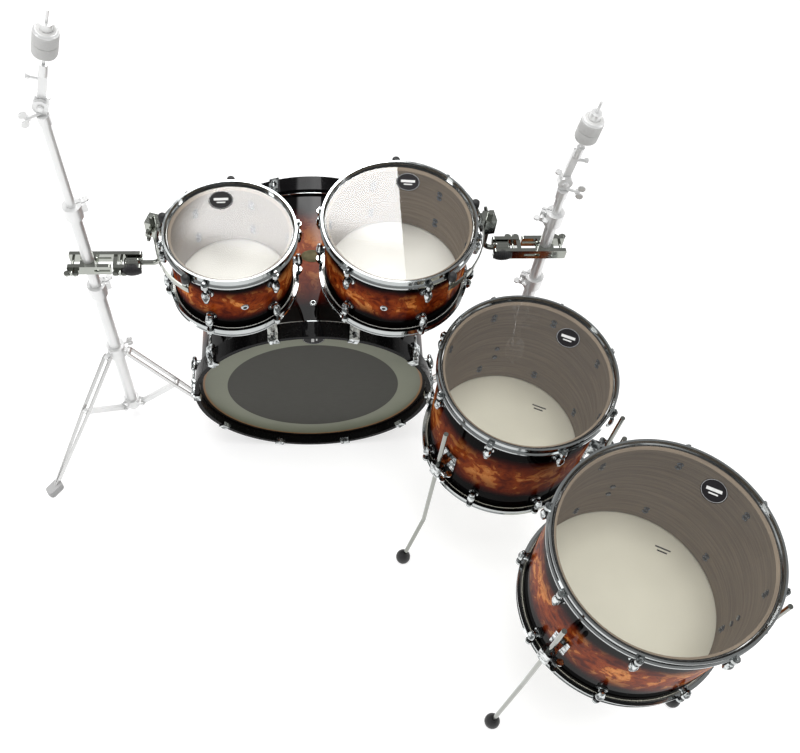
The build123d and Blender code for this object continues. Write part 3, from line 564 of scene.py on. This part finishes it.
def air_vent(name):
    """Chrome eyelet round the shell's air hole, with a black disc in it as painted shade for the dark
    hole.
    """
    angle, height = DRUMS[name]["vent"]
    seat = radial(name, angle, shell_radius(name), height)
    bm = bmesh.new()
    lathe(bm, [(3.8 * MM, -2 * MM), (3.8 * MM, 1.6 * MM), (4.4 * MM, 2.4 * MM), (5.6 * MM, 2.6 * MM),
               (7.4 * MM, 1.9 * MM), (8.4 * MM, 0.6 * MM), (8.5 * MM, -2 * MM)], seat, 36, closed=True)
    piece(name + "_air_vent", bm, CHROME, DRUMS[name]["body"])
    # Painted shade: a black rubber disc fills the eyelet where the hole's dark inside would show.
    bm = bmesh.new()
    lathe(bm, [(0, -1 * MM), (3.9 * MM, -1 * MM), (3.9 * MM, 0.3 * MM), (0, 0.3 * MM)], seat, 24)
    piece(name + "_vent_painted_shade", bm, RUBBER, DRUMS[name]["body"])


def bar(bm, seat, centre, half, thickness):
    """Add a thin rectangular bar lying on the seat's plane."""
    size = Matrix.Diagonal((2 * half[0], 2 * half[1], thickness, 1))
    spot = Matrix.Translation((centre[0], centre[1], thickness / 2))
    bmesh.ops.create_cube(bm, size=1.0, matrix=seat @ spot @ size)


def round_badge(name, seat, body):
    """Plain dark foil disc on a head, with one thin ring near its edge and two plain bars."""
    bm = bmesh.new()
    radius = 25.5 * MM
    lathe(bm, chamfered(radius, 0, 0.4 * MM, 0.15 * MM), seat, 72)
    piece(name + "_badge", bm, BADGE, body)
    bm = bmesh.new()
    outer, width, foot, top = radius - 1.4 * MM, 0.5 * MM, 0.3 * MM, 0.55 * MM
    lathe(bm, [(outer - width, foot), (outer, foot), (outer, top), (outer - width, top)],
          seat, 72, closed=True)
    bar(bm, seat, (0, 2 * MM), (15 * MM, 3.4 * MM), top)
    bar(bm, seat, (0, -7 * MM), (9 * MM, 1.6 * MM), top)
    piece(name + "_badge_marks", bm, PRINT, body)


def print_place(name, height):
    """Frame of the marks on a tom's head: on its plane, turned the way they read."""
    angle, share, turn = DRUMS[name]["badge"]
    seat = upright(name, angle, share * shell_radius(name), height)
    return seat @ Matrix.Rotation(math.radians(turn - angle), 4, "Z")


def head_badge(name):
    round_badge(name, print_place(name, DRUMS[name]["depth"] / 2 + FILM), DRUMS[name]["body"])


def bottom_print(name):
    """Two plain dark bars printed on the inside of the bottom head."""
    face = print_place(name, -DRUMS[name]["depth"] / 2)
    bm = bmesh.new()
    for row, half in ((4 * MM, 17 * MM), (-4 * MM, 11 * MM)):
        bar(bm, face, (0, row), (half, 1.7 * MM), 0.3 * MM)
    piece(name + "_bottom_print", bm, BADGE, DRUMS[name]["body"])


def bracket_screws(name):
    """Pairs of screws inside the shell behind each leg bracket."""
    bm = bmesh.new()
    inside = shell_radius(name) - SHELL_WALL
    middle = sum(corner.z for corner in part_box(name + "_leg_brackets")) / 2
    level = middle - drum_frame(name).translation.z
    head = chamfered(5.6 * MM, 0.2 * MM, -3.4 * MM)
    for angle in LEG_ANGLES:
        for step in (-18 * MM, 18 * MM):
            lathe(bm, head, radial(name, angle, inside, level + step), 20)
    piece(name + "_bracket_screws", bm, SCREW, DRUMS[name]["body"], 25)


def grommet_knobs(name):
    """Black rubber knobs on the three points where the suspension holds the batter hoop."""
    bm = bmesh.new()
    edge = DRUMS[name]["depth"] / 2
    profile = dome(8.6 * MM, edge - 10.2 * MM, edge + 6 * MM, 5 * MM)
    for angle in DRUMS[name]["grommets"]:
        lathe(bm, profile, upright(name, angle, shell_radius(name) + GROMMET_OFFSET, 0), 36)
    piece(name + "_grommet_knobs", bm, RUBBER, DRUMS[name]["body"])


def foot_boots(name):
    """Bulbous rubber boots over the feet of a floor tom's three legs."""
    bm = bmesh.new()
    profile = [(0, 0.1 * MM), (13 * MM, 0.1 * MM), (16.5 * MM, 4 * MM), (18 * MM, 11 * MM),
               (17.6 * MM, 19 * MM), (15 * MM, 27 * MM), (10 * MM, 33 * MM), (6.4 * MM, 36 * MM),
               (0, 36.2 * MM)]
    axis = drum_frame(name).translation
    legs = frame["nodes"][name + "_legs"].data.vertices
    soles = [v.co - axis for v in legs if v.co.z < SOLE_TOP]
    for angle in LEG_ANGLES:
        out = Vector((math.cos(math.radians(angle)), math.sin(math.radians(angle)), 0))
        middle = axis + out * (max(spot.dot(out) for spot in soles) - FOOT_R)
        lathe(bm, profile, Matrix.Translation((middle.x, middle.y, 0)), 40)
    piece(name + "_foot_boots", bm, RUBBER, name + "_legs", 50)


for name in DRUMS:
    lug_screws(name)
    lug_gaskets(name)
    air_vent(name)
for name in TOMS:
    head_badge(name)
for name in FLOOR_TOMS:
    bottom_print(name)
    bracket_screws(name)
    foot_boots(name)
for name in RACK_TOMS:
    grommet_knobs(name)


# ---------------------------------------------------------------- bass drum details

def bass_flesh_rings():
    """Bright rings where the heads' metal hoops show between the wooden hoops and the shell."""
    bm = bmesh.new()
    edge = DRUMS["bass"]["depth"] / 2
    inner = shell_radius("bass") + 0.6 * MM
    outer = shell_radius("bass") + 7 * MM
    for end in (1, -1):
        low, high = end * (edge - 22 * MM), end * (edge - 12 * MM)
        profile = [(inner, low), (outer - MM, low), (outer, low + end * MM), (outer, high),
                   (inner, high)]
        lathe(bm, profile, drum_frame("bass"), 160, closed=True)
    piece("bass_flesh_rings", bm, CHROME, "standing_drums")


def bass_oval_plate():
    """Plain oval brass plate on top of the shell, bent to its curve, with a lower rim."""
    bm = bmesh.new()
    outer = shell_radius("bass")
    half_width, half_length = 27 * MM, 17 * MM
    rings, around = 8, 48
    face, rim, rim_from, sunk = 1.6 * MM, 1.1 * MM, 0.82, 0.5 * MM
    shares = [k / rings for k in range(rings + 1)]
    levels = [(share, outer + (face if share < rim_from else rim)) for share in shares]
    levels.append((1.0, outer - sunk))
    grid = []
    for share, radius in levels:
        row = []
        for j in range(around):
            a = 2 * math.pi * j / around
            turn = math.radians(-90) + share * half_width * math.cos(a) / outer
            along = share * half_length * math.sin(a)
            spot = Vector((radius * math.cos(turn), radius * math.sin(turn), along))
            row.append(bm.verts.new(drum_frame("bass") @ spot))
        grid.append(row)
    for one, two in zip(grid, grid[1:]):
        for j in range(around):
            after = (j + 1) % around
            bm.faces.new((one[j], one[after], two[after], two[j]))
    bmesh.ops.remove_doubles(bm, verts=grid[0], dist=0.01 * MM)
    piece("bass_plain_plate", bm, BRASS, "standing_drums")


def bass_badge():
    """Round badge near the top of the batter head, facing the player."""
    seat = upright("bass", -90, 0.243, -DRUMS["bass"]["depth"] / 2 - FILM)
    round_badge("bass", seat @ Matrix.Rotation(math.pi, 4, "X"), "standing_drums")


bass_flesh_rings()
bass_oval_plate()
bass_badge()


# ---------------------------------------------------------------- stand details

def ball_housing(stand):
    """Black housing with grip rings round the clamp's ball joint."""
    side = 1 if stand == "left_stand" else -1
    low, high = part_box(stand + "_clamp")
    outer_end = high.x if side > 0 else low.x
    half_length, bore, neck = 20 * MM, 6.4 * MM, 8.5 * MM
    level_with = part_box(stand + "_middle_tube")[0].y
    centre = Vector((outer_end - side * half_length, level_with, (low.z + high.z) / 2))
    seat = Matrix.Translation(centre) @ Matrix.Rotation(math.pi / 2, 4, "Y")
    profile = [(bore, -half_length), (neck, -half_length)]
    ribs, pitch, groove = 7, 4 * MM, 0.7 * MM
    for k in range(ribs):
        start = (k - ribs / 2) * pitch
        bulge = (13.4 - 0.2 * (k - ribs // 2) ** 2) * MM
        profile += [(bulge, start), (bulge, start + 2.4 * MM)]
        profile += [(bulge - groove, start + 2.8 * MM), (bulge - groove, start + 3.6 * MM)]
    profile += [(neck, half_length), (bore, half_length)]
    bm = bmesh.new()
    lathe(bm, profile, seat, 40, closed=True)
    piece(stand + "_ball_housing", bm, RUBBER, STANDS[stand] + "_clamp")


def tilt_frame(stand):
    """Frame on a tilter's pivot whose +Z runs along its arm."""
    tilt_axis = next(Vector(joint["pos_m"]) for joint in frame["record"]["behaviour"]["joints"]
                     if joint["name"] == STANDS[stand] + "_cymbal_tilt")
    return Matrix.Translation(tilt_axis) @ Matrix.Rotation(math.radians(ROD_LEAN[stand]), 4, "Y")


def tilter_grips(stand):
    """Wing screw under the tilter's pivot, the pivot bolt's head, and a small screw on the arm."""
    side = -1 if stand == "left_stand" else 1
    pivot = Matrix.Translation(tilt_frame(stand).translation)
    sideways = Matrix.Rotation(side * math.pi / 2, 4, "Y")
    quarter = Matrix.Rotation(math.pi / 2, 4, "X")
    bm = bmesh.new()
    turn = Matrix.Rotation(math.radians(30 if side < 0 else -20), 4, "Z")
    seat = pivot @ Matrix.Translation((0, 0, -14 * MM)) @ turn @ sideways
    lathe(bm, chamfered(3 * MM, 4 * MM, 26 * MM), seat, 20)
    lathe(bm, chamfered(5.5 * MM, 24 * MM, 34 * MM, 1 * MM), seat, 28)
    half = 1.7 * MM
    wing = [(0, -half), (7.5 * MM, -half), (8.5 * MM, 0), (7.5 * MM, half), (0, half)]
    for way in (-1, 1):
        lathe(bm, wing, seat @ Matrix.Translation((way * 11 * MM, 0, 35 * MM)) @ quarter, 32)
    head = pivot @ Matrix.Translation((0, -2.3 * MM, 0)) @ quarter
    lathe(bm, dome(7 * MM, 0, 5 * MM, 2 * MM), head, 6)
    piece(stand + "_wing_screw", bm, SATIN, STANDS[stand] + "_upper_tube")
    bm = bmesh.new()
    seat = tilt_frame(stand) @ Matrix.Translation((0, 10 * MM, 58 * MM)) @ sideways
    lathe(bm, chamfered(3.5 * MM, 6 * MM, 24 * MM), seat, 20)
    lathe(bm, chamfered(5.5 * MM, 23 * MM, 30 * MM, 1 * MM), seat, 28)
    piece(stand + "_rod_screw", bm, SATIN, STANDS[stand] + "_tilter")


def felts(stand):
    """Soft felts round the cymbal rod, one on top of the other."""
    seat = tilt_frame(stand) @ Matrix.Translation((0, 3 * MM, 0))
    bm = bmesh.new()
    outer, bore = 22.7 * MM, 3.3 * MM
    soft, tight = 8 * MM, 1.5 * MM           # edges at the ends, and where the felts meet
    for low, high, low_edge, high_edge in ((121.6 * MM, 148.2 * MM, soft, tight),
                                           (148.3 * MM, 175.5 * MM, tight, soft)):
        profile = [(bore, low), *rounded(outer, low + low_edge, low_edge, -90),
                   *rounded(outer, high - high_edge, high_edge, 0), (bore, high)]
        lathe(bm, profile, seat, 48, closed=True)
    piece(stand + "_felts", bm, FELT, STANDS[stand] + "_tilter", 40)


# ---------------------------------------------------------------- floor, lights and camera

def floor():
    bm = bmesh.new()
    half = 30.0
    corners = ((-half, -half), (half, -half), (half, half), (-half, half))
    bm.faces.new([bm.verts.new((x, y, 0)) for x, y in corners])
    mesh = bpy.data.meshes.new("floor")
    bm.to_mesh(mesh)
    bm.free()
    mesh.materials.append(pale_floor())
    made = bpy.data.objects.new("floor", mesh)
    bpy.context.scene.collection.objects.link(made)


def area_light(name, centre, target, size, radiance, in_gloss=True):
    """Rectangular light at a point, facing a target, as bright as the radiance says."""
    lamp = bpy.data.lights.new(name, "AREA")
    lamp.shape = "RECTANGLE"
    lamp.size, lamp.size_y = size
    lamp.energy = radiance * math.pi * size[0] * size[1]
    made = bpy.data.objects.new(name, lamp)
    bpy.context.scene.collection.objects.link(made)
    made.location = centre
    made.rotation_euler = (Vector(target) - Vector(centre)).to_track_quat("-Z", "Y").to_euler()
    made.visible_glossy = in_gloss
    made.visible_camera = False
    return lamp


def fade_softbox(lamp):
    """Brightness over the softbox: less toward its left edge and its nearer half, more to the right."""
    g = Graph(lamp)
    place = g.node("NewGeometry", {}).outputs["Position"]
    share = 1.0
    for direction, start, end, low, high in (((1.0, -0.3, 0.0), -1.49, -1.29, 0.0, 1.0),
                                             ((0.3, 1.0, 0.0), 1.95, 2.15, 0.3, 1.0),
                                             ((1.0, 0.0, 0.0), -0.2, 0.12, 1.0, 1.28)):
        along = g.node("VectorMath", {0: place, 1: direction}, operation="DOT_PRODUCT").outputs["Value"]
        fade = g.node("MapRange", {"Value": along, "From Min": start, "From Max": end,
                                   "To Min": low, "To Max": high}, interpolation_type="SMOOTHSTEP")
        share = g.math("MULTIPLY", share, fade.outputs[0])
    g.put(g.nodes["Emission"].inputs["Strength"], share)


def lights():
    """A softbox that the rack toms' heads mirror, light from above, and two strips for the chrome."""
    softbox = area_light("head_softbox", (-0.205, 2.05, 3.0), (-0.205, 2.05, 0.0), (1.19, 1.5), 10.5)
    fade_softbox(softbox)
    area_light("overhead_fill", (0.0, -0.3, 6.0), (0.0, -0.3, 0.0), (7.0, 7.0), 1.1, in_gloss=False)
    lamp = bpy.data.lights.new("down_light", "SUN")
    lamp.energy, lamp.angle = 2.05, math.radians(30)
    sun = bpy.data.objects.new("down_light", lamp)
    bpy.context.scene.collection.objects.link(sun)
    sun.visible_glossy = False
    area_light("left_strip", (-2.9, -0.8, 2.1), (0.0, 0.0, 0.6), (0.5, 1.8), 5.0)
    area_light("right_strip", (3.1, -0.2, 1.9), (0.3, 0.0, 0.6), (0.4, 1.6), 5.0)


def surroundings():
    """Grey bands by height: bright at the horizon, dark above it for the chrome, then paler."""
    world = bpy.data.worlds.new("studio")
    g = Graph(world)
    split = g.node("SeparateXYZ", {"Vector": g.node("TexCoord", {}).outputs["Generated"]})
    grey = g.ramp(split.outputs[2], (0.06, 0.78), (0.14, 0.06), (0.36, 0.05), (0.46, 0.55),
                  (0.75, 0.34))
    g.put(g.nodes["Background"].inputs["Color"], grey)
    g.put(g.nodes["Background"].inputs["Strength"], 1.0)
    bpy.context.scene.world = world
    bpy.context.scene.view_settings.view_transform = "Standard"


def camera():
    place = Vector((-0.10863, -1.0498, 2.38781))
    pitch, heading, roll = (math.radians(a) for a in (58.942, 4.336, 3.161))
    ahead = Vector((math.sin(heading), math.cos(heading), 0))
    forward = math.cos(pitch) * ahead - math.sin(pitch) * Vector((0, 0, 1))
    level = Vector((math.cos(heading), -math.sin(heading), 0))
    above = level.cross(forward)
    right = math.cos(roll) * level + math.sin(roll) * above
    up = math.cos(roll) * above - math.sin(roll) * level
    lens = bpy.data.cameras.new("camera")
    lens.sensor_width = 36.0
    lens.lens = 43.51
    lens.shift_x = 0.075
    lens.clip_end = 100.0
    made = bpy.data.objects.new("camera", lens)
    bpy.context.scene.collection.objects.link(made)
    axes = Matrix((right, up, -forward)).transposed().to_4x4()
    made.matrix_world = Matrix.Translation(place) @ axes
    bpy.context.scene.camera = made


for stand in STANDS:
    ball_housing(stand)
    tilter_grips(stand)
    felts(stand)
floor()
lights()
surroundings()
camera()
